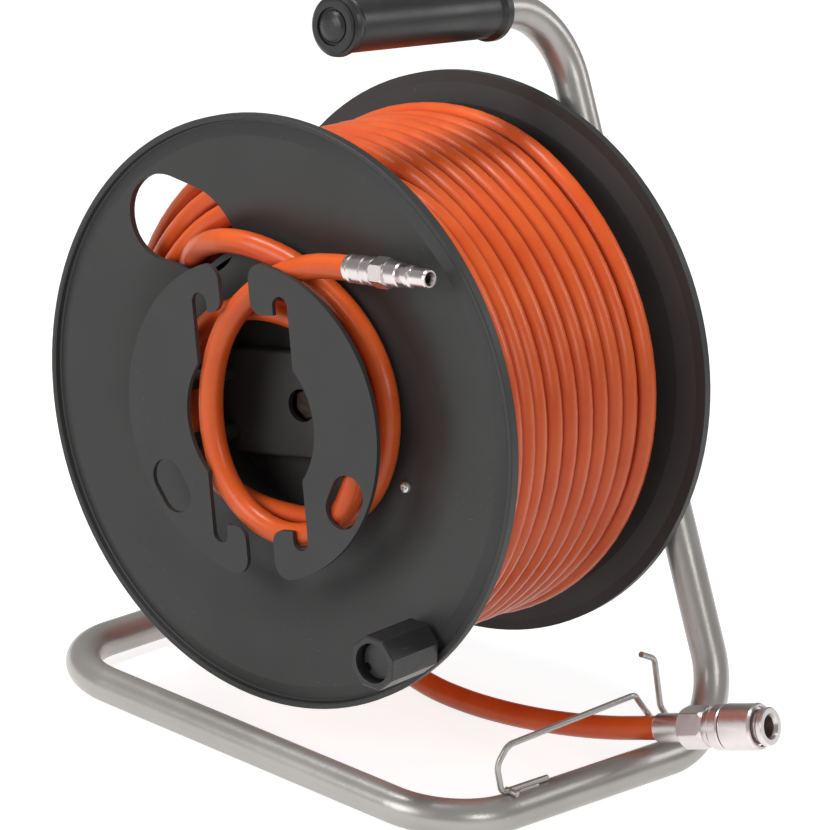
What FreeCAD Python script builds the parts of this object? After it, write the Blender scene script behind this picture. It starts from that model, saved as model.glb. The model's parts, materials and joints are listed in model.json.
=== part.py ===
import FreeCAD, Part
import math
import os

# Portable compressed-air hose reel: a plastic drum on a fixed spindle, carried by a
# stand of bent steel tube with a handle grip above the drum.
# Millimetres. +Z up, +Y from the front flange to the rear flange, origin on the floor
# under the centre of the stand and drum.  The pieces are built about the drum axis
# (X = 0, Z = 0, front rim at Y = 0) and moved to the floor frame when written.

V = FreeCAD.Vector

# ---- driving dimensions -------------------------------------------------------------
AXLE_X, FRONT_RIM_Y, AXLE_Z = -12.6, -79.2, 172.0

FLANGE_R = 145.0            # both flanges
DRUM_WIDTH = 160.0          # outside of front rim to outside of rear rim
FLANGE_T = 3.0              # moulded wall
PATTERN_ANGLE = 12.0        # the hub pattern is turned this far from upright

RIM_T = 5.0
FACE_Y = 3.5                # flat face of the rear flange inside its rim
FACE_R = 116.0              # where the front face starts to curve into the dish
DISH_R = 84.0
DISH_Y = 13.0               # floor of the dish
CUP_R = 53.0                # open cup in the middle of the dish
BRIDGE_Y = 23.0             # front of the bridge across the cup
BRIDGE_HALF = 26.5
BRIDGE_T = 3.0
CUP_FLOOR_Y = 31.0
HUB_HOLE_R = 8.2

CORE_R = 82.0               # barrel that the hose is wound on
REAR_DISH_Y = DRUM_WIDTH - 13.0
CORE_Y = (DISH_Y + FLANGE_T + 0.4, REAR_DISH_Y - FLANGE_T - 0.4)
HUB_TUBE_R = 14.0
BUSH_R = 10.0
SPINDLE_R = 6.0
RUN_FIT = 0.05

WINDOW_R = 22.5             # long round window in the front flange
WINDOW_ENDS = ((-77.5, 78.0), (-62.0, 76.0))
SCREW_CIRCLE = (77.0, 3, -13.0)   # radius, count and first angle of the flange screws

PLATE_R = 78.0              # the two D-shaped hose plates
PLATE_Y = (-14.8, -12.3)
SLOT_HALF = 30.0
PLATE_CUT_R = 40.0
HOOK_NOTCH_R = 4.6
POST_R = 4.5
POST_XY = (45.5, 15.0)
LOBE_IN = {(1, 1): 7.0, (1, -1): 8.0, (-1, 1): 12.0, (-1, -1): 9.5}
LOBE_CORNER_R = 8.0
KIDNEY = ((57.0, -31.5), (52.5, -39.0), 9.5)

KNOB_R_FROM_AXLE = 132.5
KNOB_ANGLE = -40.2
KNOB_Y = (-35.5, -1.5)
KNOB_APOTHEM = 12.3
KNOB_BORE_R = 9.6
KNOB_BORE_DEPTH = 8.0
KNOB_PIN_R = 5.0

TUBE_R = 9.0                # stand tube, 18 mm outside
TUBE_WALL = 1.5
LEG_Y = 178.0
BASE_Z = TUBE_R - AXLE_Z
BASE_BEND = 42.0
HANDLE_BEND = 42.0

HOSE_R = 6.0                # 12 mm air hose
WIND_R = 129.0              # outside of the full winding
WIND_LAST_R = 131.5         # the last turn rides a little higher
WIND_FRONT_R = 117.0        # one layer less next to the front flange
WIND_FRONT_Y = 16.8
WIND_PITCH = 12.1
WIND_REAR_Y = 137.3
WIND_LAST_Y = WIND_REAR_Y - WIND_PITCH
WIND_STEP_Y = WIND_REAR_Y - 8 * WIND_PITCH

WIRE_R = 1.5                # hose rest wire
REST_SHIFT = 1.2            # the wire is welded this far inside the crown of the tube
REST_LEAN = 10.7            # its rear fork leans this far in, behind the hose

OFFSET = V(AXLE_X, FRONT_RIM_Y, AXLE_Z)
made = {}


# ---- helpers ------------------------------------------------------------------------
def put(name, shape):
    """Keeps one named piece, moved to the floor frame."""
    solids = shape.Solids
    body = solids[0] if len(solids) == 1 else Part.makeCompound(solids)
    body = body.copy()
    body.translate(OFFSET)
    made[name] = body


def ring(r_out, r_in, y0, y1, x=0.0, z=0.0):
    """Cylinder or tube along Y."""
    body = Part.makeCylinder(r_out, y1 - y0, V(x, y0, z), V(0, 1, 0))
    if r_in > 0:
        body = body.cut(Part.makeCylinder(r_in, y1 - y0 + 2, V(x, y0 - 1, z), V(0, 1, 0)))
    return body


def turned(profile):
    """Revolves a closed outline about the drum axis. It is (radius, y) points in straight lines,
    and lists of four such points that are each a smooth curve."""
    runs = [[V(r, y, 0) for r, y in (item if isinstance(item, list) else [item])] for item in profile]
    edges = []
    for run, following in zip(runs, runs[1:] + runs[:1]):
        if len(run) > 1:
            curve = Part.BezierCurve()
            curve.setPoles(run)
            edges.append(curve.toShape())
        edges.append(Part.makeLine(run[-1], following[0]))
    return Part.Face(Part.Wire(edges)).revolve(V(0, 0, 0), V(0, 1, 0), 360)


def along(profile, start, direction):
    """Revolves a closed outline of (radius, distance) points about a line in space."""
    pts = [V(r, 0, s) for r, s in profile]
    body = Part.Face(Part.makePolygon(pts + [pts[0]])).revolve(V(0, 0, 0), V(0, 0, 1), 360)
    body.Placement = FreeCAD.Placement(start, FreeCAD.Rotation(V(0, 0, 1), direction))
    return body


def prism(sides, apothem, start, direction, length, spin=0.0):
    """Regular prism along a line."""
    r = apothem / math.cos(math.pi / sides)
    steps = [spin + 2 * math.pi * (i + 0.5) / sides for i in range(sides + 1)]
    pts = [V(r * math.cos(a), r * math.sin(a), 0) for a in steps]
    body = Part.Face(Part.makePolygon(pts)).extrude(V(0, 0, length))
    body.Placement = FreeCAD.Placement(start, FreeCAD.Rotation(V(0, 0, 1), direction))
    return body


def long_round(a, b, radius, y0, y1):
    """Bar along Y with a long round section: two circles and the band between them."""
    (ax, az), (bx, bz) = a, b
    reach = math.hypot(bx - ax, bz - az)
    nx, nz = -(bz - az) / reach * radius, (bx - ax) / reach * radius
    corners = [(ax + nx, az + nz), (bx + nx, bz + nz), (bx - nx, bz - nz), (ax - nx, az - nz)]
    pts = [V(x, y0, z) for x, z in corners]
    band = Part.Face(Part.makePolygon(pts + [pts[0]])).extrude(V(0, y1 - y0, 0))
    return band.fuse(ring(radius, 0, y0, y1, ax, az)).fuse(ring(radius, 0, y0, y1, bx, bz)).removeSplitter()


def polar(r, degrees):
    a = math.radians(degrees)
    return r * math.cos(a), r * math.sin(a)


def pattern(x, z):
    """Hub pattern coordinates to the drum frame."""
    a = math.radians(PATTERN_ANGLE)
    return x * math.cos(a) - z * math.sin(a), x * math.sin(a) + z * math.cos(a)


def turn_at(a, b, c):
    u, v = (b - a), (c - b)
    return u.getAngle(v)


def bent_path(points, radius):
    """Straight runs joined by tangent arcs. radius(i) gives the arc at point i."""
    edges, last, radii = [], points[0], []
    for i in range(1, len(points) - 1):
        a, b, c = points[i - 1], points[i], points[i + 1]
        turn, r = turn_at(a, b, c), radius(i)
        reach = r * math.tan(turn / 2)
        u, v = (b - a).normalize(), (c - b).normalize()
        p, q = b - u * reach, b + v * reach
        inward = (v - u).normalize()
        mid = b + inward * (r / math.cos(turn / 2) - r)
        if (p - last).Length > 1e-4:
            edges.append(Part.LineSegment(last, p).toShape())
        edges.append(Part.Arc(p, mid, q).toShape())
        last = q
        radii.append(r)
    if (points[-1] - last).Length > 1e-4:
        edges.append(Part.LineSegment(last, points[-1]).toShape())
    return Part.Wire(edges), radii


def rod(wire, radius):
    """Round bar swept along a path."""
    first = wire.Edges[0]
    start, heading = first.valueAt(first.FirstParameter), first.tangentAt(first.FirstParameter)
    circle = Part.Wire(Part.Circle(start, heading, radius).toShape())
    return wire.makePipeShell([circle], True, False)


def tube(wire, radius, wall):
    return rod(wire, radius).cut(rod(wire, radius - wall))


def cord_radius(points):
    """Largest arc that each corner's two runs allow."""
    def radius(i):
        a, b, c = points[i - 1], points[i], points[i + 1]
        shorter = min((b - a).Length, (c - b).Length)
        return 0.45 * shorter / math.tan(turn_at(a, b, c) / 2)
    return radius


def cord(name, points):
    """A hose stretch as one plain tube, with its figures printed."""
    wire, radii = bent_path(points, cord_radius(points))
    body = rod(wire, HOSE_R)
    ideal = math.pi * HOSE_R ** 2 * wire.Length
    runs = [(points[i + 1] - points[i]).Length for i in range(len(points) - 1)]
    print(f"{name}: length {wire.Length:.1f}, least radius {min(radii):.1f} of "
          f"{[round(r) for r in radii]}, runs {[round(r) for r in runs]}, "
          f"volume ratio {body.Volume / ideal:.5f}, valid {body.isValid()}")
    put(name, body)


# ---- stand --------------------------------------------------------------------------
HANDLE_TOP = V(15.0, LEG_Y, 181.6)
GRIP_NEAR = V(12.0, 8.8, 191.2)
GRIP_LENGTH = 121.6
REAR_RIGHT = V(166.0, LEG_Y, BASE_Z)
FRONT_RIGHT = V(141.0, -13.5, BASE_Z)
FRONT_LEFT = V(-124.0, -13.5, BASE_Z)
REAR_LEFT = V(-116.0, LEG_Y, BASE_Z)


def between(a, b, distance):
    return a + (b - a).normalize() * distance


def stand():
    handle_end = between(GRIP_NEAR, HANDLE_TOP, 4.0)
    leg_line = (REAR_RIGHT - HANDLE_TOP).normalize()
    right_seam = between(REAR_RIGHT, FRONT_RIGHT, 60.0)
    left_seam = between(REAR_LEFT, FRONT_LEFT, 60.0)

    right_path = [handle_end, HANDLE_TOP, REAR_RIGHT, right_seam]
    bends = {1: HANDLE_BEND, 2: BASE_BEND}
    wire, _ = bent_path(right_path, lambda i: bends[i])
    right_leg = tube(wire, TUBE_R, TUBE_WALL)

    base_path = [right_seam, FRONT_RIGHT, FRONT_LEFT, left_seam]
    wire, _ = bent_path(base_path, lambda i: BASE_BEND)
    base = tube(wire, TUBE_R, TUBE_WALL)

    # The left leg passes behind the spindle and is welded to the right leg.
    up = V(-REAR_LEFT.x, 0, -REAR_LEFT.z).normalize()
    meet = leg_meeting(up, leg_line)
    wire, _ = bent_path([left_seam, REAR_LEFT, meet], lambda i: BASE_BEND)
    left_leg = tube(wire, TUBE_R, TUBE_WALL)
    right_bar = Part.makeCylinder(TUBE_R, 500, HANDLE_TOP, leg_line)
    left_leg = left_leg.cut(right_bar)
    left_leg = max(left_leg.Solids, key=lambda s: s.Volume)
    left_leg = left_leg.cut(ring(4.25, 0, LEG_Y - 20, LEG_Y + 20))

    put("stand_base_tube", base)
    put("stand_right_leg", right_leg)
    put("stand_left_leg", left_leg)

    plate = Part.makeBox(46, 3, 30, V(-23, LEG_Y - TUBE_R - 3, -15))
    plate = plate.makeFillet(6, [e for e in plate.Edges if abs(e.tangentAt(0).y) > 0.9])
    plate.rotate(V(0, LEG_Y, 0), V(0, 1, 0), math.degrees(math.atan2(up.x, up.z)) - 90)
    put("axle_plate", plate.cut(ring(4.25, 0, 150, 190)))


def leg_meeting(up, leg_line):
    """Point where the left leg's line from the axle reaches the right leg's line."""
    across = leg_line.x / leg_line.z
    z = (HANDLE_TOP.x - HANDLE_TOP.z * across) / (up.x / up.z - across)
    return V(z * up.x / up.z, LEG_Y, z)


def grip():
    way = (HANDLE_TOP - GRIP_NEAR).normalize()
    length = GRIP_LENGTH
    bore = TUBE_R + 0.1
    outline = [
        (bore, 2.0), (13.0, 2.0), (14.2, 2.9), (14.4, 5.0), (13.9, 6.8), (12.4, 7.6), (12.4, 9.0),
        (13.0, 10.0), (13.0, length - 10.0), (13.6, length - 8.5), (14.6, length - 6.5),
        (14.6, length - 3.0), (13.4, length - 0.8), (11.5, length), (bore, length),
    ]
    put("handle_grip", along(outline, GRIP_NEAR, way))
    cap = [
        (0, -1.8), (3.5, -1.5), (6.2, -0.4), (7.6, 0.9), (7.9, 1.6), (8.5, 1.6), (8.9, 0.4),
        (11.6, 0.4), (12.6, 1.1), (12.6, 1.9), (TUBE_R - 0.2, 1.9), (TUBE_R - 0.2, 3.8),
        (TUBE_R - TUBE_WALL - 0.1, 3.8), (TUBE_R - TUBE_WALL - 0.4, 14.0), (0, 14.0),
    ]
    put("grip_end_cap", along(cap, GRIP_NEAR, way))


def spindle():
    leg_front = LEG_Y - TUBE_R - 3
    shaft = ring(SPINDLE_R, 0, 35.5, leg_front)
    thread = ring(4.0, 0, 27.0, 35.5)
    tapped = ring(3.9, 0, leg_front - 22, leg_front + 1)
    put("spindle", shaft.fuse(thread).cut(tapped).removeSplitter())
    put("spindle_washer_front", ring(9.6, 4.2, 33.9, 35.4))
    nut = prism(6, 6.5, V(0, 27.4, 0), V(0, 1, 0), 6.4)
    put("spindle_lock_nut", nut.cut(ring(4.0, 0, 20, 40)))
    put("spindle_spacer", ring(11.0, SPINDLE_R + 0.1, CORE_Y[1] + 11.5 + 0.3, leg_front))
    rear = LEG_Y + TUBE_R
    washer = ring(9.0, 4.2, rear, rear + 1.6)
    put("spindle_washer_rear", washer)
    head = prism(6, 6.5, V(0, rear + 1.6, 0), V(0, 1, 0), 5.3)
    bolt = head.fuse(ring(3.9, 0, leg_front - 18, rear + 1.6)).removeSplitter()
    put("spindle_bolt", bolt)


# ---- hose rest ----------------------------------------------------------------------
def on_right_tube(y, height):
    """Point above the right base tube at height over its top line."""
    share = (y - FRONT_RIGHT.y) / (REAR_RIGHT.y - FRONT_RIGHT.y)
    x = FRONT_RIGHT.x + (REAR_RIGHT.x - FRONT_RIGHT.x) * share
    return V(x, y, BASE_Z + TUBE_R + height)


def hose_rest():
    low, lean = WIRE_R + 0.15, V(-REST_LEAN, 0, 0)
    points = [
        on_right_tube(48.0, low), on_right_tube(17.5, low), on_right_tube(12.4, 17.0),
        on_right_tube(18.6, 26.0), on_right_tube(104.6, 31.0), on_right_tube(127.8, 13.3) + lean,
        on_right_tube(131.5, low), on_right_tube(140.0, low), on_right_tube(138.4, 13.3) + lean,
        on_right_tube(130.0, 40.8) + lean, on_right_tube(119.8, 45.3) + lean,
    ]
    points = [p - V(REST_SHIFT, 0, 0) for p in points]
    bends = [0, 4.5, 8.0, 7.0, 8.0, 5.0, 3.0, 3.0, 5.0, 6.0]
    wire, _ = bent_path(points, lambda i: bends[i])
    stub = Part.makeCylinder(WIRE_R, 7.0, on_right_tube(22.0, low) + V(4.3, 0, 0), V(-1, 0, 0))
    put("hose_rest_wire", rod(wire, WIRE_R).fuse(stub).removeSplitter())


# ---- drum ---------------------------------------------------------------------------
def front_flange():
    t = FLANGE_T
    outline = [
        (HUB_HOLE_R, CUP_FLOOR_Y), (CUP_R, CUP_FLOOR_Y), (CUP_R, DISH_Y + 1), (CUP_R + 1, DISH_Y),
        [(DISH_R - 4.0, DISH_Y), (DISH_R + 6.0, DISH_Y), (DISH_R + 11.0, 5.6), (FACE_R, 3.6)],
        (133.4, 1.86), (134.4, 1.78), (135.4, 1.95), (140.9, 3.1), (141.6, 2.7), (142.1, 0.5),
        (142.8, 0.0), (144.5, 0.0), (FLANGE_R, 0.5), (FLANGE_R, RIM_T), (141.0, RIM_T + 0.2),
        [(FACE_R + 1.0, 3.6 + t), (DISH_R + 12.5, 5.6 + t), (DISH_R + 7.5, DISH_Y + t),
         (DISH_R - 2.5, DISH_Y + t)],
        (CORE_R - 6.2, DISH_Y + t), (CORE_R - 6.2, DISH_Y + t + 12), (CORE_R - 8.7, DISH_Y + t + 12),
        (CORE_R - 8.7, DISH_Y + t), (CUP_R + t, DISH_Y + t), (CUP_R + t, CUP_FLOOR_Y + t),
        (HUB_HOLE_R, CUP_FLOOR_Y + t),
    ]
    body = turned(outline)
    bridge = Part.makeBox(2 * CUP_R + 2, CUP_FLOOR_Y + 1 - BRIDGE_Y, 2 * BRIDGE_HALF,
                          V(-CUP_R - 1, BRIDGE_Y, -BRIDGE_HALF))
    edges = [e for e in bridge.Edges if abs(e.tangentAt(0).x) > 0.9 and e.CenterOfMass.y < BRIDGE_Y + 1]
    bridge = bridge.makeFillet(2.0, edges)
    bridge = bridge.common(ring(CUP_R + 0.5, 0, 0, 60))
    channel = Part.makeBox(2 * CUP_R, 20, 2 * (BRIDGE_HALF - BRIDGE_T),
                           V(-CUP_R, BRIDGE_Y + BRIDGE_T, -BRIDGE_HALF + BRIDGE_T))
    channel = channel.common(ring(CUP_R - 0.5, 0, 0, 60))
    bridge.rotate(V(0, 0, 0), V(0, 1, 0), -PATTERN_ANGLE)
    channel.rotate(V(0, 0, 0), V(0, 1, 0), -PATTERN_ANGLE)
    body = body.fuse(bridge).cut(channel).cut(ring(HUB_HOLE_R, 0, 0, 60))
    body = body.cut(long_round(*WINDOW_ENDS, WINDOW_R, -5, 30))
    for x, z in screw_circle():
        body = body.cut(ring(1.9, 0, 5, 40, x, z)).cut(ring(4.4, 0, DISH_Y + t, 40, x, z))
    for side in (-1, 1):
        for end in (-1, 1):
            x, z = pattern(side * POST_XY[0], end * POST_XY[1])
            body = body.cut(ring(1.9, 0, 5, 30, x, z))
    kx, kz = polar(KNOB_R_FROM_AXLE, KNOB_ANGLE)
    boss = ring(8.0, 0, 1.0, RIM_T + 2.5, kx, kz).cut(ring(2.1, 0, -5, 20, kx, kz))
    body = body.cut(ring(2.1, 0, -5, 20, kx, kz)).fuse(boss)
    put("drum_front_flange", body.removeSplitter())


def screw_circle():
    radius, count, first = SCREW_CIRCLE
    return [polar(radius, first + 360.0 * i / count) for i in range(count)]


def rear_flange():
    w, t = DRUM_WIDTH, FLANGE_T
    outline = [
        (HUB_TUBE_R + 0.4, w - 4.5 - t), (60.0, w - 4.5 - t), (62.0, REAR_DISH_Y - t),
        (DISH_R, REAR_DISH_Y - t), (DISH_R + 14, w - FACE_Y - t), (129.0, w - FACE_Y - t),
        (139.5, w - RIM_T), (FLANGE_R, w - RIM_T), (FLANGE_R, w - 0.5), (144.5, w),
        (142.8, w), (142.1, w - 0.5), (141.6, w - 2.2), (140.4, w - 2.4), (139.5, w - 1.9),
        (131.0, w - FACE_Y + 0.3), (129.0, w - FACE_Y), (DISH_R + 13, w - FACE_Y), (DISH_R - 1, REAR_DISH_Y),
        (64.0, REAR_DISH_Y), (62.0, w - 4.5), (HUB_TUBE_R + 0.4, w - 4.5),
    ]
    body = turned(outline)
    for i in range(8):
        rib = Part.makeBox(38.0, 5.8, 2.2, V(20.0, w - 10.8, -1.1))
        rib.rotate(V(0, 0, 0), V(0, 1, 0), 45.0 * i)
        body = body.fuse(rib)
    spigot = ring(CORE_R - 6.2, CORE_R - 8.7, REAR_DISH_Y - t - 10.0, REAR_DISH_Y - t + 0.5)
    for x, z in screw_circle():
        spigot = spigot.cut(ring(4.4, 0, 120, REAR_DISH_Y - t, x, z))
    body = body.fuse(spigot)
    for x, z in screw_circle():
        body = body.cut(ring(1.9, 0, 120, 160, x, z))
    put("drum_rear_flange", body.removeSplitter())


def core():
    y0, y1 = CORE_Y
    body = ring(CORE_R, CORE_R - 3.0, y0, y1)
    inner_y0 = CUP_FLOOR_Y + FLANGE_T + 0.6
    hub = ring(HUB_TUBE_R, BUSH_R, inner_y0, y1 + 11.5)
    body = body.fuse(hub)
    for i in range(6):
        web = Part.makeBox(CORE_R - 2 - HUB_TUBE_R + 1, 80.0, 2.4, V(HUB_TUBE_R - 1, 45.0, -1.2))
        web.rotate(V(0, 0, 0), V(0, 1, 0), 60.0 * i + 8.0)
        body = body.fuse(web)
    for x, z in screw_circle():
        boss_front = ring(3.6, 1.5, y0, y0 + 16, x, z)
        boss_rear = ring(3.6, 1.5, y1 - 16, y1, x, z)
        body = body.fuse(boss_front).fuse(boss_rear)
    put("drum_core", body.removeSplitter())
    bush_in = SPINDLE_R + RUN_FIT
    put("bush_front", ring(BUSH_R, bush_in, inner_y0 + 1.4, inner_y0 + 13.4))
    put("bush_rear", ring(BUSH_R, bush_in, y1 - 1.5, y1 + 11.5))


def screws(name, centres, y_head, into):
    """Pan-head screws: y_head is the seat, into is +1 or -1 along Y."""
    parts = []
    for x, z in centres:
        way = V(0, into, 0)
        head = [(0, -2.3), (1.6, -2.2), (2.6, -1.5), (3.0, -0.6), (3.0, 0), (1.4, 0), (1.4, 14), (0, 14)]
        body = along(head, V(x, y_head, z), way)
        cut_y = y_head - 2.4 if into > 0 else y_head + 1.2
        slot = Part.makeBox(4.0, 1.2, 0.9, V(x - 2.0, cut_y, z - 0.45))
        cross = Part.makeBox(0.9, 1.2, 4.0, V(x - 0.45, cut_y, z - 2.0))
        parts.append(body.cut(slot).cut(cross))
    put(name, Part.makeCompound(parts))


def hose_plate(side):
    """D-shaped plate with two hooks, a central round cut and a kidney hole, on two posts."""
    y0, y1 = PLATE_Y
    body = ring(PLATE_R, 0, y0, y1)
    keep = Part.makeBox(90, 10, 170, V(SLOT_HALF, y0 - 4, -85))
    for end in (-1, 1):
        lobe_in, z_in = LOBE_IN[(side, end)], 52.0
        lobe = Part.makeBox(SLOT_HALF + 1 - lobe_in, 10, 40, V(lobe_in, y0 - 4, z_in))
        corner = [e for e in lobe.Edges if abs(e.tangentAt(0).y) > 0.9
                  and e.CenterOfMass.x < lobe_in + 1 and e.CenterOfMass.z < z_in + 1]
        lobe = lobe.makeFillet(6.5, corner)
        notch_x = SLOT_HALF - HOOK_NOTCH_R
        notch = ring(HOOK_NOTCH_R, 0, y0 - 5, y1 + 5, notch_x, z_in + HOOK_NOTCH_R)
        mouth = Part.makeBox(2 * HOOK_NOTCH_R, 12, HOOK_NOTCH_R + 2,
                             V(SLOT_HALF - 2 * HOOK_NOTCH_R, y0 - 5, z_in - 2))
        lobe = lobe.cut(notch).cut(mouth)
        if end < 0:
            lobe = lobe.mirror(V(0, 0, 0), V(0, 0, 1))
        keep = keep.fuse(lobe)
    body = body.common(keep)
    for end in (-1, 1):
        lobe_in = LOBE_IN[(side, end)]
        tip = V(lobe_in, (y0 + y1) / 2, end * math.sqrt(PLATE_R ** 2 - lobe_in ** 2))
        corner = [e for e in body.Edges if (e.CenterOfMass - tip).Length < 0.5]
        body = body.makeFillet(LOBE_CORNER_R, corner)
    kidney_a, kidney_b, kidney_r = KIDNEY
    body = body.cut(ring(PLATE_CUT_R, 0, y0 - 5, y1 + 5))
    body = body.cut(long_round(kidney_a, kidney_b, kidney_r, y0 - 3, y1 + 3))
    for end in (-1, 1):
        post = ring(POST_R, 0, y0 + 1, BRIDGE_Y, POST_XY[0], end * POST_XY[1])
        body = body.fuse(post).cut(ring(1.4, 0, BRIDGE_Y - 14, BRIDGE_Y + 1, POST_XY[0], end * POST_XY[1]))
    if side < 0:
        body = body.mirror(V(0, 0, 0), V(1, 0, 0))
    body.rotate(V(0, 0, 0), V(0, 1, 0), -PATTERN_ANGLE)
    put("hose_plate_right" if side > 0 else "hose_plate_left", body.removeSplitter())


def knob():
    y0, y1 = KNOB_Y
    x, z = polar(KNOB_R_FROM_AXLE, KNOB_ANGLE)
    body = prism(8, KNOB_APOTHEM, V(x, y0, z), V(0, 1, 0), y1 - y0)
    body = body.makeChamfer(0.7, [e for e in body.Edges if abs(e.tangentAt(0).y) < 0.1])
    body = body.cut(ring(KNOB_BORE_R, 0, y0 - 1, y0 + KNOB_BORE_DEPTH, x, z))
    body = body.cut(ring(KNOB_PIN_R + RUN_FIT, 0, y0, y1 + 1, x, z))
    put("crank_knob", body)
    head_y = y0 + 4.8
    pin = ring(KNOB_PIN_R, 0, head_y + 1, 1.0, x, z)
    pin = pin.fuse(ring(8.6, 0, head_y, y0 + KNOB_BORE_DEPTH - 0.25, x, z))
    for way in (40.0, 220.0):
        nx, nz = polar(7.6, way)
        pin = pin.cut(ring(2.1, 0, head_y - 1, y0 + KNOB_BORE_DEPTH, x + nx, z + nz))
    pin = pin.cut(ring(1.6, 0, -14.0, 3.0, x, z))
    put("knob_pin", pin.removeSplitter())
    head = [(0, -2.3), (1.6, -2.2), (2.6, -1.5), (3.0, -0.6), (3.0, 0), (1.6, 0), (1.6, 16), (0, 16)]
    put("knob_screw", along(head, V(x, RIM_T + 2.5, z), V(0, -1, 0)))


# ---- hose ---------------------------------------------------------------------------
# Routes as (x, y, z) about the drum axis, chosen by hand.
INNER_ROUTE = [
    (-81.0, 26.5, 43.0), (-75.0, 21.6, 54.5), (-66.0, 14.8, 64.0), (-53.0, 6.5, 71.5),
    (-38.5, 1.6, 77.8), (-22.0, 1.2, 80.2), (-5.0, 5.5, 77.3), (14.5, 6.6, 72.0),
    (35.5, 6.6, 62.0), (50.5, 6.6, 49.5), (61.5, 6.6, 33.5), (67.0, 6.6, 14.5),
    (66.5, 6.6, -5.5), (60.0, 6.6, -24.5), (47.0, 6.6, -39.0), (28.5, 6.6, -47.0),
    (8.0, 6.6, -50.0), (-13.0, 6.6, -50.5), (-33.5, 6.6, -46.0), (-50.0, 6.6, -33.0),
    (-58.5, 6.6, -13.0), (-59.5, 6.6, 8.5), (-52.0, 6.6, 28.5), (-36.8, 6.6, 42.4),
    (-18.0, 6.6, 48.6), (2.0, 5.0, 50.8), (23.0, 0.3, 50.2), (42.5, -4.0, 42.4),
    (56.0, -6.0, 25.5), (60.5, -6.0, 5.5), (60.0, -6.0, -15.0), (53.0, -6.0, -34.0),
    (38.9, -6.0, -48.1), (20.0, -6.0, -54.3), (0.0, -6.0, -51.6), (-16.5, -6.0, -41.2),
    (-27.5, -6.0, -24.5), (-32.5, -6.0, -5.5), (-33.0, -6.0, 14.0), (-29.0, -6.0, 33.0),
    (-19.5, -6.0, 50.3), (-6.0, -6.0, 64.5), (10.5, -6.0, 76.0), (29.5, -6.4, 84.0),
    (48.5, -8.4, 87.2),
]
OUTER_ROUTE = [
    (-79.0, 127.0, -113.2), (-62.0, 126.0, -125.6), (-43.0, 123.5, -138.8), (-22.0, 119.5, -151.2),
    (0.5, 116.0, -160.2), (24.0, 114.2, -164.6), (48.0, 113.8, -165.0), (72.0, 114.6, -163.4),
    (95.0, 116.0, -160.4), (116.0, 117.6, -156.4), (134.6, 119.2, -151.8), (148.4, 120.3, -147.5),
    (161.3, 120.8, -143.1),
]


def route(points):
    return [V(*p) for p in points]


def winding():
    outline = [
        (CORE_R + 0.3, WIND_FRONT_Y), (WIND_FRONT_R, WIND_FRONT_Y),
        (WIND_FRONT_R, WIND_STEP_Y), (WIND_R, WIND_STEP_Y), (WIND_R, WIND_LAST_Y),
        (WIND_LAST_R, WIND_LAST_Y), (WIND_LAST_R, WIND_REAR_Y), (CORE_R + 0.3, WIND_REAR_Y),
    ]
    put("hose_winding", turned(outline))


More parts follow.
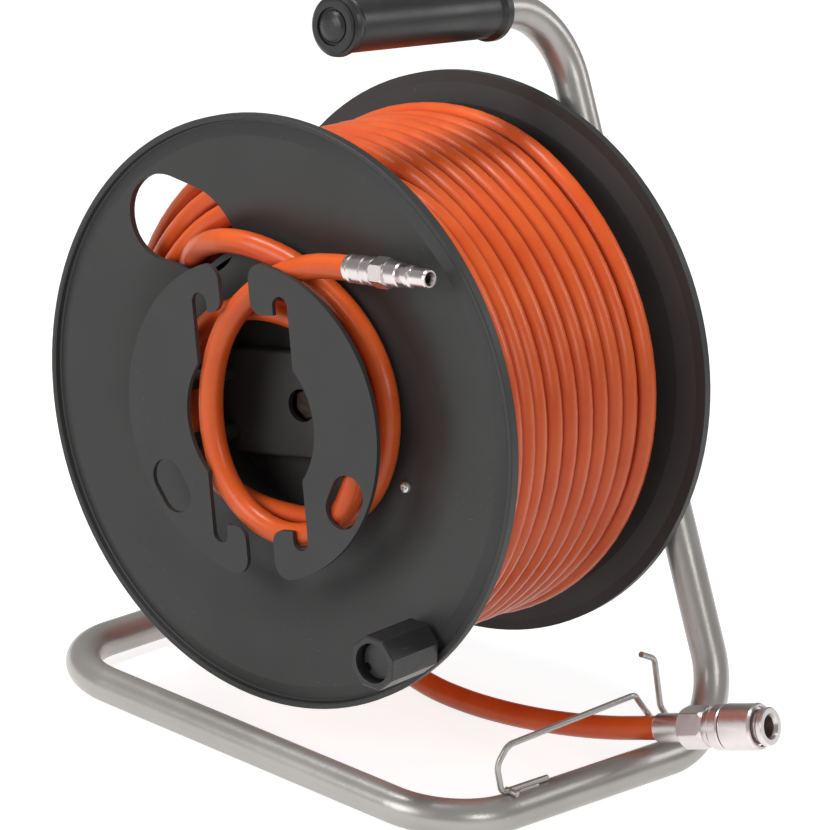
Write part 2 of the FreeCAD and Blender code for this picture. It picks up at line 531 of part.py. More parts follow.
def fittings():
    end, before = V(*INNER_ROUTE[-1]), V(*INNER_ROUTE[-2])
    way = (end - before).normalize()
    ferrule = [(0, 0.0), (6.5, 0.0), (6.7, 0.6), (6.7, 2.4), (6.3, 3.0), (6.3, 5.2), (6.7, 5.8),
               (6.7, 11.0), (6.3, 11.6), (6.3, 13.8), (6.7, 14.4), (6.7, 17.0), (6.3, 17.6), (0, 17.6)]
    put("plug_ferrule", along(ferrule, end, way))
    seat = end + way * 17.6
    hexagon = prism(6, 6.5, seat, way, 8.4, spin=0.3)
    hexagon = hexagon.common(along([(0, -1), (6.6, -1), (7.45, 1.2), (7.45, 7.2), (6.6, 9.4), (0, 9.4)],
                                   seat, way))
    stem = [(0, 8.0), (5.6, 8.0), (5.9, 8.9), (5.9, 15.6), (5.5, 16.4), (4.0, 16.4), (3.9, 20.0),
            (5.2, 20.6), (5.2, 22.8), (4.4, 23.4), (4.4, 32.6), (4.0, 33.6), (0, 33.6)]
    nipple = hexagon.fuse(along(stem, seat, way))
    nipple = nipple.cut(along([(0, 4), (2.6, 4), (2.6, 31.6), (3.3, 33.7), (0, 33.7)], seat, way))
    put("plug_nipple", nipple.removeSplitter())
    print("plug way", way, "seat", seat + OFFSET)

    end, way = V(*OUTER_ROUTE[-1]), COUPLER_WAY
    ferrule = [(0, 0.0), (6.9, 0.0), (7.2, 0.5), (7.2, 14.6), (6.8, 15.2), (0, 15.2)]
    put("coupler_ferrule", along(ferrule, end, way))
    seat = end + way * 15.2
    hexagon = prism(6, 9.5, seat, way, 15.0, spin=0.15)
    hexagon = hexagon.common(along([(0, -1), (8.6, -1), (8.6, 0.0), (10.8, 2.0), (10.8, 13.0),
                                    (9.6, 15.2), (0, 15.2)], seat, way))
    shank = [(0, 14.5), (9.3, 14.5), (9.6, 16.5), (9.6, 18.2), (10.8, 18.7), (11.2, 19.6), (11.2, 24.2),
             (10.8, 25.0), (8.4, 25.2), (8.4, 45.4), (9.0, 46.0), (9.4, 46.8), (9.4, 48.9), (8.8, 49.5),
             (0, 49.5)]
    body = hexagon.fuse(along(shank, seat, way))
    body = body.cut(along([(0, 17), (7.0, 17), (7.0, 36.2), (5.35, 37.8), (5.35, 47.5), (6.4, 49.6),
                           (0, 49.6)], seat, way))
    body = body.cut(along([(0, 3), (3.0, 3), (3.0, 20), (0, 20)], seat, way))
    put("coupler_body", body.removeSplitter())
    bore = 8.4 + RUN_FIT
    sleeve = [(bore, 25.6), (10.9, 25.6), (11.5, 26.4), (11.5, 42.6), (10.9, 43.8), (9.9, 43.8),
              (9.7, 41.2), (bore, 40.8)]
    put("coupler_sleeve", along(sleeve, seat, way))
    poppet = [(0, 22.0), (5.2, 22.0), (5.2, 25.0), (6.9, 26.0), (6.95, 32.0), (5.6, 35.0), (2.4, 35.4),
              (0, 35.4)]
    put("coupler_valve", along(poppet, seat, way))
    print("coupler way", way, "seat", seat + OFFSET)
    print("nose face", seat + way * 49.5 + OFFSET)


COUPLER_WAY = (V(*OUTER_ROUTE[-1]) - V(*OUTER_ROUTE[-2])).normalize()


stand()
grip()
spindle()
hose_rest()
front_flange()
rear_flange()
core()
screws("flange_screws_front", screw_circle(), DISH_Y, 1)
screws("flange_screws_rear", screw_circle(), REAR_DISH_Y, -1)
POSTS = [pattern(s * POST_XY[0], e * POST_XY[1]) for s in (-1, 1) for e in (-1, 1)]
screws("plate_screws", POSTS, BRIDGE_Y + BRIDGE_T, -1)
hose_plate(1)
hose_plate(-1)
knob()
winding()
cord("hose_inner_lead", route(INNER_ROUTE))
cord("hose_outer_lead", route(OUTER_ROUTE))
fittings()

os.makedirs("parts", exist_ok=True)
for name, shape in made.items():
    shape.exportStep(f"parts/{name}.step")
    box = shape.BoundBox
    print(f"{name}: {len(shape.Solids)} solid, valid {shape.isValid()}, volume {shape.Volume / 1000:.1f} cm3, "
          f"x {box.XMin:.1f}..{box.XMax:.1f} y {box.YMin:.1f}..{box.YMax:.1f} z {box.ZMin:.1f}..{box.ZMax:.1f}")
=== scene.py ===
import json
import math

import bmesh
import bpy
from mathutils import Matrix, Vector


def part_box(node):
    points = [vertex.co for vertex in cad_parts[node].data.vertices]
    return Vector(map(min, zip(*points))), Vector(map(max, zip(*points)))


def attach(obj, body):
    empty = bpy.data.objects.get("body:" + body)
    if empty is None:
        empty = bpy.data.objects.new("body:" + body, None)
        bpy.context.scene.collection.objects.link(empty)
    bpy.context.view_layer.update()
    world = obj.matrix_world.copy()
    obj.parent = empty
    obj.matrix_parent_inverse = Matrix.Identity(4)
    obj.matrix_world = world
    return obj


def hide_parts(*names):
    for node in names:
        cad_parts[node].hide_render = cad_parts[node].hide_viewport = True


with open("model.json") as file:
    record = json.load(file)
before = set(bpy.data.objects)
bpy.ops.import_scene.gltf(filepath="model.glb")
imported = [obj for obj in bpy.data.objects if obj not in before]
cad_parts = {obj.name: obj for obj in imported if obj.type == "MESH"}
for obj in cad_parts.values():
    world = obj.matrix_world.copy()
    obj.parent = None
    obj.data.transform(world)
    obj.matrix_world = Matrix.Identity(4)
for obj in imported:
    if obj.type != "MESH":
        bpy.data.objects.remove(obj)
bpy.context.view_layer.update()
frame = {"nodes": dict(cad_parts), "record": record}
NODES = frame["nodes"]

# ---- places taken from the frame -----------------------------------------------------
FLANGE_LOW, FLANGE_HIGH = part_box("drum_front_flange")
FLANGE_MIDDLE = (FLANGE_LOW + FLANGE_HIGH) / 2
AXLE = Vector((FLANGE_MIDDLE.x, FLANGE_LOW.y, FLANGE_MIDDLE.z))
HOSE_R = 0.006
TUBE_R = 0.009
WIRE_R = 0.0015


def about_axle(x, y, z):
    """Point given about the drum axis, y from the front rim, as a point of the frame."""
    return AXLE + Vector((x, y, z))


def polar(radius, degrees, y):
    """Point on a turn about the drum axis; the angle grows from +X towards +Z."""
    a = math.radians(degrees)
    return about_axle(radius * math.cos(a), y, radius * math.sin(a))


# ---- camera --------------------------------------------------------------------------
CAMERA_TARGET = about_axle(0.03075, 0.0750, -0.00734)
CAMERA_AZIMUTH, CAMERA_ELEVATION, CAMERA_ROLL = 37.21, 18.80, 5.0
CAMERA_DISTANCE = 1.7796
CAMERA_LENS, CAMERA_SENSOR = 157.2, 36.0
CAMERA_NEAR, CAMERA_FAR = 0.05, 50.0


def make_camera():
    a, e, c = (math.radians(v) for v in (CAMERA_AZIMUTH, CAMERA_ELEVATION, CAMERA_ROLL))
    back = Vector((math.sin(a) * math.cos(e), -math.cos(a) * math.cos(e), math.sin(e)))
    level = Vector((math.cos(a), math.sin(a), 0))
    rise = back.cross(level)
    right = math.cos(c) * level + math.sin(c) * rise
    up = math.cos(c) * rise - math.sin(c) * level
    place = CAMERA_TARGET + back * CAMERA_DISTANCE
    data = bpy.data.cameras.new("camera")
    data.sensor_width = CAMERA_SENSOR
    data.lens = CAMERA_LENS
    data.clip_start, data.clip_end = CAMERA_NEAR, CAMERA_FAR
    camera = bpy.data.objects.new("camera", data)
    bpy.context.scene.collection.objects.link(camera)
    camera.matrix_world = Matrix((
        (right.x, up.x, back.x, place.x),
        (right.y, up.y, back.y, place.y),
        (right.z, up.z, back.z, place.z),
        (0, 0, 0, 1),
    ))
    bpy.context.scene.camera = camera


make_camera()


# ---- hose ----------------------------------------------------------------------------
# The free end in front of the drum, from the winding to the plug.
INNER_ROUTE = [
    (-0.0810, 0.0265, 0.0430), (-0.0750, 0.0216, 0.0545), (-0.0660, 0.0148, 0.0640),
    (-0.0530, 0.0065, 0.0715), (-0.0385, 0.0016, 0.0778), (-0.0220, 0.0012, 0.0802),
    (-0.0050, 0.0055, 0.0773), (0.0145, 0.0066, 0.0720), (0.0355, 0.0066, 0.0620),
    (0.0505, 0.0066, 0.0495), (0.0615, 0.0066, 0.0335), (0.0670, 0.0066, 0.0145),
    (0.0665, 0.0066, -0.0055), (0.0600, 0.0066, -0.0245), (0.0470, 0.0066, -0.0390),
    (0.0285, 0.0066, -0.0470), (0.0080, 0.0066, -0.0500), (-0.0130, 0.0066, -0.0505),
    (-0.0335, 0.0066, -0.0460), (-0.0500, 0.0066, -0.0330), (-0.0585, 0.0066, -0.0130),
    (-0.0595, 0.0066, 0.0085), (-0.0520, 0.0066, 0.0285), (-0.0368, 0.0066, 0.0424),
    (-0.0180, 0.0066, 0.0486), (0.0020, 0.0050, 0.0508), (0.0230, 0.0003, 0.0502),
    (0.0425, -0.0040, 0.0424), (0.0560, -0.0060, 0.0255), (0.0605, -0.0060, 0.0055),
    (0.0600, -0.0060, -0.0150), (0.0530, -0.0060, -0.0340), (0.0389, -0.0060, -0.0481),
    (0.0200, -0.0060, -0.0543), (0.0000, -0.0060, -0.0516), (-0.0165, -0.0060, -0.0412),
    (-0.0275, -0.0060, -0.0245), (-0.0325, -0.0060, -0.0055), (-0.0330, -0.0060, 0.0140),
    (-0.0290, -0.0060, 0.0330), (-0.0195, -0.0060, 0.0503), (-0.0060, -0.0060, 0.0645),
    (0.0105, -0.0060, 0.0760), (0.0295, -0.0064, 0.0840), (0.0485, -0.0084, 0.0872),
]
# The free end below the drum, from the last turn to the coupler.
OUTER_ROUTE = [
    (-0.0790, 0.1270, -0.1132), (-0.0620, 0.1260, -0.1256), (-0.0430, 0.1235, -0.1388),
    (-0.0220, 0.1195, -0.1512), (0.0005, 0.1160, -0.1602), (0.0240, 0.1142, -0.1646),
    (0.0480, 0.1138, -0.1650), (0.0720, 0.1146, -0.1634), (0.0950, 0.1160, -0.1604),
    (0.1160, 0.1176, -0.1564), (0.1346, 0.1192, -0.1518), (0.1484, 0.1203, -0.1475),
    (0.1613, 0.1208, -0.1431),
]

# The winding. A station is where a turn passes the left (180 degrees) or the right (0) of
# the drum: radius and y of the hose's middle, then where within the next half turn it
# changes over to the next station, as middle and half width in degrees.
PITCH = 0.0121
HALF_PITCH = PITCH / 2
REAR_SLOT = 0.1312
LAYER_R = (0.0884, 0.0994, 0.1106, 0.1230)
TURNS_IN_FIRST = 9
POINTS_A_HALF_TURN = 12
# A quadratic spline runs inside its points; the radius is divided by this to make up for it.
SPLINE_PULL = 0.75 + 0.25 * math.cos(math.pi / POINTS_A_HALF_TURN)
TOP_CHANGE = (78.0, 14.0)
BOTTOM_CHANGE = (90.0, 50.0)
LOOSE_CHANGE = (90.0, 90.0)
# On the outer layer the places of the top change drift with y, from this one.
DRIFT_START_Y, DRIFT_START, DRIFT_A_METRE = 0.050, 84.0, 233.0


def layer(radius, first, last, way, on_right):
    """Stations of one layer, half a pitch apart; way is 1 to the rear, -1 to the front."""
    count = round(abs(last - first) / HALF_PITCH) + 1
    made = []
    for i in range(count):
        y = first + way * HALF_PITCH * i
        right = (i % 2 == 0) == on_right
        change = TOP_CHANGE if right else BOTTOM_CHANGE
        if right and radius == LAYER_R[3]:
            change = (DRIFT_START - (y - DRIFT_START_Y) * DRIFT_A_METRE, TOP_CHANGE[1])
        made.append((radius, y, *change))
    return made


def winding_stations():
    r1, r2, r3, r4 = LAYER_R
    loose = [
        (0.0892, 0.033, *LOOSE_CHANGE), (0.0888, 0.066, *LOOSE_CHANGE), (0.0884, 0.099, *LOOSE_CHANGE),
    ]
    first = layer(r1, REAR_SLOT, REAR_SLOT - TURNS_IN_FIRST * PITCH, -1, True)
    second = layer(r2, 0.0223, REAR_SLOT, 1, False)
    third = layer(r3, REAR_SLOT, 0.0404, -1, True)
    crossing = [
        (0.1250, 0.0346, 79.0, 13.0), (r3, 0.0283, *BOTTOM_CHANGE),
        (0.1265, 0.0228, 108.0, 16.0), (r4, 0.0404, *BOTTOM_CHANGE),
    ]
    fourth = layer(r4, 0.0465, 0.0465 + 13 * HALF_PITCH, 1, True)
    last = [(0.1255, REAR_SLOT, 66.0, 16.0), (0.1255, 0.1372, *BOTTOM_CHANGE)]
    return loose + first + second + third + crossing + fourth + last


def eased(t):
    """0 to 1 with a gentle start and end."""
    t = min(1.0, max(0.0, t))
    return t * t * (3 - 2 * t)


def winding_points():
    """Control points of all the turns, from the window outwards to the last turn."""
    stations = winding_stations()
    made = [polar(0.0905, 166.0, 0.0295)]
    for i, (here, there) in enumerate(zip(stations, stations[1:])):
        middle, half = here[2], here[3]
        for k in range(POINTS_A_HALF_TURN):
            turned = 180.0 * k / POINTS_A_HALF_TURN
            share = eased((turned - middle + half) / (2 * half))
            radius = here[0] + (there[0] - here[0]) * share
            y = here[1] + (there[1] - here[1]) * share
            made.append(polar(radius / SPLINE_PULL, 180.0 * (i + 1) + turned, y))
    made.append(polar(0.1264, 180.0, 0.1370))
    made.append(polar(0.1290, 196.0, 0.1352))
    made.append(polar(0.1340, 211.0, 0.1316))
    made.append(about_axle(-0.0952, 0.1280, -0.1014))
    return made


SPLINE_ORDER = 3
TUBE_ROUNDNESS = 7
WOUND_STEPS, LEAD_STEPS = 3, 8


def mesh_of(piece):
    """The shape of a curve as a mesh, its bevel included."""
    bpy.context.view_layer.update()
    shaped = piece.evaluated_get(bpy.context.evaluated_depsgraph_get())
    return bpy.data.meshes.new_from_object(shaped)


def hose(name, points, steps):
    """A hose on one smooth line, with so many steps a point: the tube and the points it follows."""
    curve = bpy.data.curves.new(name, "CURVE")
    curve.dimensions = "3D"
    spline = curve.splines.new("NURBS")
    spline.points.add(len(points) - 1)
    for point, place in zip(spline.points, points):
        point.co = (*place, 1.0)
    spline.order_u = SPLINE_ORDER
    spline.use_endpoint_u = True
    spline.resolution_u = steps
    line = bpy.data.objects.new("hose_line", curve)
    bpy.context.scene.collection.objects.link(line)
    path = [v.co.copy() for v in mesh_of(line).vertices]
    curve.bevel_depth = HOSE_R
    curve.bevel_resolution = TUBE_ROUNDNESS
    curve.use_fill_caps = True
    mesh = mesh_of(line)
    bpy.data.objects.remove(line)
    piece = bpy.data.objects.new(name, mesh)
    bpy.context.scene.collection.objects.link(piece)
    mesh.shade_smooth()
    return piece, path


def make_hoses():
    lead_points = [about_axle(*p) for p in OUTER_ROUTE]
    free_end = [about_axle(*p) for p in INNER_ROUTE]
    wound_points = lead_points[:1] + winding_points()[::-1] + free_end
    wound, wound_path = hose("hose_wound", wound_points, WOUND_STEPS)
    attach(wound, "drum")
    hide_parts("hose_winding", "hose_inner_lead")
    lead, lead_path = hose("hose_lead", lead_points, LEAD_STEPS)
    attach(lead, "stand")
    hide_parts("hose_outer_lead")
    return wound, lead


HOSE_WOUND, HOSE_LEAD = make_hoses()


# ---- material nodes ------------------------------------------------------------------
class Shader:
    """A Principled material and the few kinds of node that the looks below are made of."""

    def __init__(self, name, **fixed):
        self.material = bpy.data.materials.new(name)
        self.material.use_nodes = True
        self.tree = self.material.node_tree
        self.tree.nodes.clear()
        out = self.add("ShaderNodeOutputMaterial")
        self.surface = self.add("ShaderNodeBsdfPrincipled")
        self.link(self.surface.outputs[0], out.inputs["Surface"])
        for socket, value in fixed.items():
            self.surface.inputs[socket.replace("_", " ")].default_value = value
        self.place = self.add("ShaderNodeTexCoord").outputs["Object"]

    def add(self, kind):
        return self.tree.nodes.new(kind)

    def link(self, a, b):
        self.tree.links.new(a, b)

    def feed(self, socket, value):
        if isinstance(value, bpy.types.NodeSocket):
            self.link(value, socket)
        else:
            socket.default_value = value

    def stretched(self, scale, turn=(0, 0, 0)):
        node = self.add("ShaderNodeMapping")
        self.link(self.place, node.inputs["Vector"])
        node.inputs["Scale"].default_value = scale
        node.inputs["Rotation"].default_value = turn
        return node.outputs[0]

    def noise(self, scale, detail=3.0, rough=0.55, place=None, warp=0.0):
        node = self.add("ShaderNodeTexNoise")
        self.link(place or self.place, node.inputs["Vector"])
        node.inputs["Scale"].default_value = scale
        node.inputs["Detail"].default_value = detail
        node.inputs["Roughness"].default_value = rough
        node.inputs["Distortion"].default_value = warp
        return node.outputs[0]

    def cells(self, scale):
        node = self.add("ShaderNodeTexVoronoi")
        self.link(self.place, node.inputs["Vector"])
        node.inputs["Scale"].default_value = scale
        return node.outputs["Distance"]

    def between(self, value, low, high, to_low=0.0, to_high=1.0):
        node = self.add("ShaderNodeMapRange")
        self.link(value, node.inputs[0])
        for socket, number in zip(node.inputs[1:5], (low, high, to_low, to_high)):
            socket.default_value = number
        return node.outputs[0]

    def maths(self, operation, a, b):
        node = self.add("ShaderNodeMath")
        node.operation = operation
        self.feed(node.inputs[0], a)
        self.feed(node.inputs[1], b)
        return node.outputs[0]

    def mixed(self, share, a, b):
        node = self.add("ShaderNodeMix")
        node.data_type = "RGBA"
        self.feed(node.inputs[0], share)
        self.feed(node.inputs[6], a)
        self.feed(node.inputs[7], b)
        return node.outputs[2]

    def along(self, axis):
        """Distance of the surface point along a direction of the frame."""
        node = self.add("ShaderNodeVectorMath")
        node.operation = "DOT_PRODUCT"
        self.link(self.place, node.inputs[0])
        node.inputs[1].default_value = axis
        return node.outputs["Value"]

    def upward(self):
        """How far the surface faces up, -1 to 1."""
        split = self.add("ShaderNodeSeparateXYZ")
        self.link(self.add("ShaderNodeNewGeometry").outputs["Normal"], split.inputs[0])
        return split.outputs[2]

    def sheltered(self, distance):
        """1 in a narrow crevice, 0 in the open, from ambient occlusion; used to paint shade."""
        node = self.add("ShaderNodeAmbientOcclusion")
        node.inputs["Distance"].default_value = distance
        return self.between(node.outputs["AO"], 0.25, 0.80, 1.0, 0.0)

    def bump(self, height, distance, strength=1.0, under=None):
        node = self.add("ShaderNodeBump")
        node.inputs["Distance"].default_value = distance
        node.inputs["Strength"].default_value = strength
        self.link(height, node.inputs["Height"])
        if under:
            self.link(under, node.inputs["Normal"])
        return node.outputs[0]

    def done(self, colour, roughness, normal=None):
        self.feed(self.surface.inputs["Base Color"], colour)
        self.feed(self.surface.inputs["Roughness"], roughness)
        if normal:
            self.link(normal, self.surface.inputs["Normal"])
        return self.material


def rgba(r, g, b):
    return (r, g, b, 1.0)


def scratches(s, turn, length, density=0.66):
    """Thin marks all one way: 0 where the surface is clean, 1 on a mark."""
    streak = s.noise(420.0, 2.0, 0.6, s.stretched((1.0, 1.0 / length, 1.0), turn))
    patch = s.noise(18.0, 2.0, 0.5)
    thin = s.between(streak, density, density + 0.05)
    return s.maths("MULTIPLY", thin, s.between(patch, 0.48, 0.62))


# ---- materials -----------------------------------------------------------------------
def tube_paint(name, light, dark):
    """Satin metallic paint: orange peel, faint cloudiness, rubbed marks and dust on top."""
    s = Shader(name, Specular_IOR_Level=0.5, Metallic=0.55, Coat_Weight=0.15, Coat_Roughness=0.16)
    cloud = s.between(s.noise(24.0, 4.0), 0.3, 0.7)
    colour = s.mixed(cloud, dark, light)
    marks = scratches(s, (0.4, 0.2, 1.1), 9.0)
    colour = s.mixed(s.maths("MULTIPLY", marks, 0.5), colour, rgba(0.60, 0.585, 0.55))
    patchy = s.between(s.noise(70.0, 5.0), 0.45, 0.8)
    dust = s.maths("MULTIPLY", s.between(s.upward(), 0.35, 1.0), patchy)
    colour = s.mixed(s.maths("MULTIPLY", dust, 0.16), colour, rgba(0.55, 0.52, 0.47))
    satin = s.between(s.noise(55.0, 4.0), 0.3, 0.7, 0.30, 0.37)
    rough = s.maths("ADD", satin, s.maths("MULTIPLY", marks, 0.2))
    peel = s.bump(s.noise(620.0, 2.0, 0.5), 0.00012, 0.55)
    return s.done(colour, rough, s.bump(marks, 0.00002, 0.4, peel))


def drum_plastic(name):
    """Charcoal moulded plastic: spark-eroded grain, flow marks from the hub, handling scuffs."""
    s = Shader(name, Specular_IOR_Level=0.42)
    flow = s.noise(9.0, 3.0, 0.5, s.stretched((1.0, 0.4, 1.0)), 0.8)
    dark, light = rgba(0.0360, 0.0365, 0.0357), rgba(0.0460, 0.0462, 0.0450)
    colour = s.mixed(s.between(flow, 0.3, 0.7), dark, light)
    marks = scratches(s, (1.3, 0.5, 0.2), 7.0, 0.67)
    colour = s.mixed(s.maths("MULTIPLY", marks, 0.45), colour, rgba(0.115, 0.115, 0.11))
    grain = s.noise(2600.0, 2.0, 0.6)
    satin = s.between(s.noise(34.0, 4.0), 0.3, 0.7, 0.44, 0.54)
    rough = s.maths("ADD", satin, s.between(grain, 0.2, 0.8, -0.03, 0.05))
    return s.done(colour, rough, s.bump(grain, 0.00006, 0.5))


def grip_plastic(name):
    """Near-black plastic with a soft sheen and a worn, smoother palm area."""
    s = Shader(name, Specular_IOR_Level=0.5)
    worn = s.between(s.noise(30.0, 3.0), 0.4, 0.65)
    colour = s.mixed(worn, rgba(0.020, 0.020, 0.020), rgba(0.031, 0.031, 0.030))
    marks = scratches(s, (0.2, 1.0, 0.6), 5.0, 0.66)
    colour = s.mixed(s.maths("MULTIPLY", marks, 0.5), colour, rgba(0.09, 0.09, 0.088))
    grain = s.noise(1900.0, 3.0, 0.6)
    rough = s.between(worn, 0.0, 1.0, 0.40, 0.31)
    return s.done(colour, rough, s.bump(grain, 0.00007, 0.45))


def hose_plastic(name, bright, deep):
    """Soft extruded hose: cloudy orange, faint scuffs, a satin skin, and painted deep-red shade where
    the turns lie close together.
    """
    s = Shader(name, Specular_IOR_Level=0.36, Coat_Weight=0.05, Coat_Roughness=0.22)
    colour = s.mixed(s.between(s.noise(42.0, 4.0), 0.3, 0.7), deep, bright)
    specks = s.between(s.noise(260.0, 4.0, 0.7), 0.60, 0.72)
    scuff = s.maths("MULTIPLY", specks, s.between(s.noise(16.0), 0.5, 0.65))
    colour = s.mixed(s.maths("MULTIPLY", scuff, 0.25), colour, rgba(0.86, 0.36, 0.17))
    # Painted shade: the colour darkens to deep red where ambient occlusion finds the hose close to
    # another turn or part.
    painted_shade = s.maths("MULTIPLY", s.sheltered(0.008), 0.88)
    colour = s.mixed(painted_shade, colour, rgba(0.25, 0.018, 0.010))
    satin = s.between(s.noise(90.0, 3.0), 0.3, 0.7, 0.28, 0.36)
    rough = s.maths("ADD", satin, s.maths("MULTIPLY", scuff, 0.12))
    skin = s.bump(s.noise(900.0, 2.0, 0.5), 0.00005, 0.35)
    return s.done(colour, rough, s.bump(s.noise(120.0, 1.0), 0.00010, 0.25, skin))


GROOVE_PITCH = 0.00035


def turned_metal(name, axis, light, dark, rough_low, rough_high):
    """Plated metal turned on a lathe: fine grooves round its axis and a little tarnish."""
    s = Shader(name, Metallic=1.0)
    turns = s.maths("MULTIPLY", s.along(axis), 2 * math.pi / GROOVE_PITCH)
    groove = s.maths("SINE", turns, 0.0)
    tarnish = s.between(s.noise(60.0, 2.0, 0.5), 0.25, 0.85)
    colour = s.mixed(tarnish, light, dark)
    rough = s.between(s.noise(240.0, 2.0), 0.2, 0.8, rough_low, rough_high)
    return s.done(colour, rough, s.bump(groove, 0.000006, 0.25))


def zinc(name):
    """Zinc-plated steel: a pale mottled skin with a faint warm and blue cast."""
    s = Shader(name, Metallic=1.0)
    spangle = s.between(s.cells(900.0), 0.0, 0.7)
    colour = s.mixed(spangle, rgba(0.62, 0.63, 0.66), rgba(0.72, 0.70, 0.64))
    rough = s.between(s.noise(600.0, 4.0), 0.3, 0.7, 0.26, 0.42)
    return s.done(colour, rough, s.bump(s.noise(900.0, 3.0), 0.00003, 0.4))


def black_steel(name):
    """Oil-blackened steel with a brown cast where the oil has dried."""
    s = Shader(name, Metallic=0.85)
    black, brown = rgba(0.030, 0.026, 0.024), rgba(0.085, 0.060, 0.048)
    colour = s.mixed(s.between(s.noise(220.0, 4.0), 0.3, 0.7), black, brown)
    rough = s.between(s.noise(500.0, 3.0), 0.3, 0.7, 0.34, 0.50)
    return s.done(colour, rough, s.bump(s.noise(1100.0, 2.0), 0.00003, 0.4))


def nylon(name):
    """Natural nylon, uneven in tone."""
    s = Shader(name, Specular_IOR_Level=0.45)
    dark, light = rgba(0.60, 0.57, 0.49), rgba(0.72, 0.69, 0.61)
    colour = s.mixed(s.between(s.noise(160.0, 3.0), 0.3, 0.7), dark, light)
    rough = s.between(s.noise(300.0, 3.0), 0.3, 0.7, 0.38, 0.50)
    return s.done(colour, rough, s.bump(s.noise(1500.0, 2.0), 0.00004, 0.4))


PLUG_WAY = (about_axle(*INNER_ROUTE[-1]) - about_axle(*INNER_ROUTE[-2])).normalized()
COUPLER_WAY = (about_axle(*OUTER_ROUTE[-1]) - about_axle(*OUTER_ROUTE[-2])).normalized()
# Light and dark tone of each.
PAINT = rgba(0.500, 0.482, 0.455), rgba(0.450, 0.433, 0.408)
WIRE_COAT = rgba(0.50, 0.485, 0.455), rgba(0.43, 0.415, 0.385)
ORANGE = rgba(0.95, 0.158, 0.028), rgba(0.86, 0.110, 0.018)
NICKEL = rgba(0.80, 0.74, 0.74), rgba(0.66, 0.59, 0.59)
BRASS = rgba(0.55, 0.42, 0.22), rgba(0.40, 0.29, 0.14)

LOOK = {
    "stand_tube": tube_paint("satin_grey_paint", *PAINT),
    "rest_wire": tube_paint("grey_wire_coat", *WIRE_COAT),
    "drum_black": drum_plastic("charcoal_plastic"),
    "grip_black": grip_plastic("black_plastic"),
    "hose_orange": hose_plastic("orange_hose", *ORANGE),
    "zinc_steel": zinc("zinc_plate"),
    "black_steel": black_steel("blackened_steel"),
    "bush_nylon": nylon("natural_nylon"),
    "plug": turned_metal("nickel_plug", PLUG_WAY, *NICKEL, 0.26, 0.31),
    "coupler": turned_metal("nickel_coupler", COUPLER_WAY, *NICKEL, 0.29, 0.34),
    "valve_brass": turned_metal("valve_brass", COUPLER_WAY, *BRASS, 0.25, 0.36),
}


def dress(piece, look):
    piece.data.materials.clear()
    piece.data.materials.append(look)


def dress_nodes():
    """Gives each CAD node the look of its slot; the plug and the coupler have one each."""
    slots = {s["node"]: s["material_slot"] for s in frame["record"]["subparts"]}
    for name, node in NODES.items():
        slot = slots[name]
        if slot == "fitting_steel":
            slot = "plug" if name.startswith("plug") else "coupler"
        dress(node, LOOK[slot])
    dress(HOSE_WOUND, LOOK["hose_orange"])
    dress(HOSE_LEAD, LOOK["hose_orange"])


dress_nodes()


# ---- weld beads ----------------------------------------------------------------------
BEAD_SIDES = 10


def bead(name, points, radius, ripple=0.0016):
    """A weld bead on the stand: a closed string along points, rippled, thin at its ends."""
    mesh = bmesh.new()
    rings = []
    total = sum((b - a).length for a, b in zip(points, points[1:]))
    gone = 0.0
    for i, point in enumerate(points):
        before, after = points[max(i - 1, 0)], points[min(i + 1, len(points) - 1)]
        gone += (point - before).length if i else 0.0
        way = (after - before).normalized()
        side = way.orthogonal().normalized()
        other = way.cross(side)
        phase = gone / ripple
        taper = min(1.0, gone / (1.2 * radius) + 0.25, (total - gone) / (1.2 * radius) + 0.25)
        swell = radius * taper * (0.90 + 0.16 * (1.0 - (phase - math.floor(phase))))
        ring = []
        for k in range(BEAD_SIDES):
            a = 2 * math.pi * k / BEAD_SIDES
            ring.append(mesh.verts.new(point + swell * (math.cos(a) * side + math.sin(a) * other)))
        rings.append(ring)
    for one, two in zip(rings, rings[1:]):
        near = min(range(BEAD_SIDES), key=lambda k: (two[k].co - one[0].co).length)
        two[:] = two[near:] + two[:near]
        for k in range(BEAD_SIDES):
            n = (k + 1) % BEAD_SIDES
            mesh.faces.new((one[k], one[n], two[n], two[k]))
    mesh.faces.new(rings[0][::-1])
    mesh.faces.new(rings[-1])
    bmesh.ops.recalc_face_normals(mesh, faces=mesh.faces)
    data = bpy.data.meshes.new(name)
    mesh.to_mesh(data)
    mesh.free()
    data.shade_smooth()
    piece = bpy.data.objects.new(name, data)
    bpy.context.scene.collection.objects.link(piece)
    dress(piece, LOOK["stand_tube"])
    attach(piece, "stand")


def on_line(a, b, count):
    return [a.lerp(b, i / (count - 1)) for i in range(count)]


# Middle lines of the legs, as x and z about the axle.
LEFT_FOOT = about_axle(-0.116, 0, -0.163)
RIGHT_FOOT, RIGHT_TOP = about_axle(0.166, 0, -0.163), about_axle(0.015, 0, 0.1816)
LEFT_WAY = (AXLE - LEFT_FOOT).normalized()
LEFT_SIDE = Vector((LEFT_WAY.z, 0, -LEFT_WAY.x))
LEG_WELD_POINTS = 72


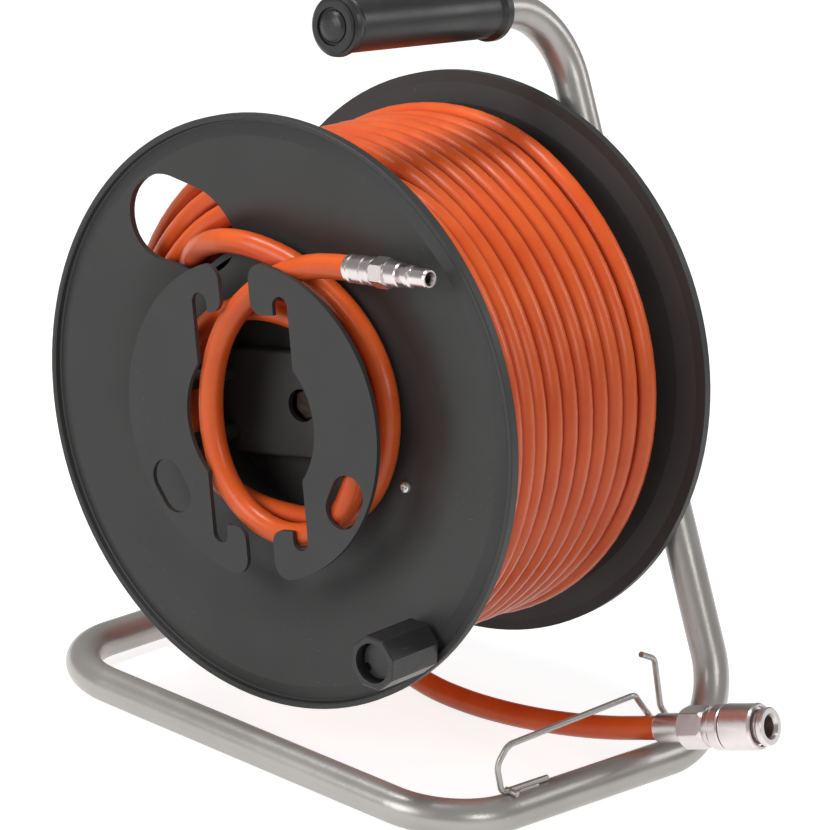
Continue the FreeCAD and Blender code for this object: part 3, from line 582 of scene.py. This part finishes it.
def leg_weld():
    """Where the left leg butts against the right leg, behind the drum."""
    leg_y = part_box("stand_left_leg")[1].y - TUBE_R
    right_way = (RIGHT_FOOT - RIGHT_TOP).normalized()
    right_side = Vector((right_way.z, 0, -right_way.x))
    start = Vector((RIGHT_TOP.x, leg_y, RIGHT_TOP.z))
    axle = Vector((AXLE.x, leg_y, AXLE.z))
    closing = LEFT_WAY.dot(right_side)
    meet = axle + LEFT_WAY * ((start - axle).dot(right_side) / closing)
    points = []
    for i in range(LEG_WELD_POINTS + 1):
        a = 2 * math.pi * i / LEG_WELD_POINTS
        out = TUBE_R * (math.cos(a) * LEFT_SIDE + math.sin(a) * Vector((0, 1, 0)))
        reach = TUBE_R * abs(math.cos(a)) * (1 if closing < 0 else -1)
        points.append(meet + out + LEFT_WAY * ((reach - out.dot(right_side)) / closing))
    bead("weld_leg_joint", points, 0.0021)


def plate_welds():
    """Two fillets between the axle plate and the left leg."""
    middle = Vector((AXLE.x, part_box("axle_plate")[1].y + 0.0012, AXLE.z))
    half_run = LEFT_WAY * 0.019
    for i, way in enumerate((-1, 1)):
        row = middle + LEFT_SIDE * 0.0062 * way
        bead(f"weld_axle_plate_{i + 1}", on_line(row - half_run, row + half_run, 40), 0.0019)


def wire_welds():
    """Beads that hold the rest wire on the right base tube."""
    front_y, rear_y = -0.0135, 0.178
    front, rear = about_axle(0.141, front_y, 0), about_axle(0.166, rear_y, 0)
    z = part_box("hose_rest_wire")[0].z + WIRE_R * 0.25

    def crown(y, inward):
        spot = front.lerp(rear, (y - front_y) / (rear_y - front_y))
        return Vector((spot.x - inward, spot.y, z))

    for name, y0, y1, inward in (
        ("weld_wire_front_inner", 0.027, 0.041, 0.0028),
        ("weld_wire_front_outer", 0.027, 0.041, -0.0004),
        ("weld_wire_rear", 0.132, 0.139, 0.0028),
    ):
        bead(name, on_line(crown(y0, inward), crown(y1, inward), 24), 0.0011, 0.0011)


leg_weld()
plate_welds()
wire_welds()


# ---- studio --------------------------------------------------------------------------
WHITE = rgba(1.0, 1.0, 1.0)
FLOOR_HALF = 6.0
FLOOR_DROP = 0.0005
STUDIO_MIDDLE = (0.0, 0.0, 0.17)


def floor():
    """A plain pale floor just under the part."""
    s = Shader("studio_floor", Specular_IOR_Level=0.2, Emission_Color=WHITE, Emission_Strength=0.80)
    look = s.done(s.mixed(s.noise(3.0), rgba(0.52, 0.52, 0.52), rgba(0.56, 0.56, 0.56)), 0.85)
    mesh = bpy.data.meshes.new("studio_floor")
    corners = [(FLOOR_HALF * x, FLOOR_HALF * y, 0) for x, y in ((-1, -1), (1, -1), (1, 1), (-1, 1))]
    mesh.from_pydata(corners, [], [(0, 1, 2, 3)])
    piece = bpy.data.objects.new("studio_floor", mesh)
    piece.location.z = -FLOOR_DROP
    bpy.context.scene.collection.objects.link(piece)
    dress(piece, look)
    piece.visible_diffuse = False


def area_light(name, place, size, watts):
    """A round softbox that points at the middle of the part."""
    data = bpy.data.lights.new(name, "AREA")
    data.shape = "DISK"
    data.size = size
    data.energy = watts
    light = bpy.data.objects.new(name, data)
    light.location = place
    light.rotation_mode = "QUATERNION"
    light.rotation_quaternion = (Vector(STUDIO_MIDDLE) - Vector(place)).to_track_quat("-Z", "Y")
    bpy.context.scene.collection.objects.link(light)


def studio():
    world = bpy.data.worlds.new("studio_world")
    world.use_nodes = True
    background = world.node_tree.nodes["Background"]
    background.inputs[0].default_value = WHITE
    background.inputs[1].default_value = 0.27
    bpy.context.scene.world = world
    bpy.context.scene.view_settings.view_transform = "Standard"
    floor()
    area_light("front_softbox", (-0.45, -2.1, 0.95), 1.3, 17.5)
    area_light("overhead_softbox", (-0.45, -0.25, 1.9), 0.6, 17.0)
    area_light("right_softbox", (2.0, -0.55, 0.95), 0.8, 7.0)
    area_light("rear_softbox", (1.2, 1.6, 1.1), 0.8, 6.0)


studio()
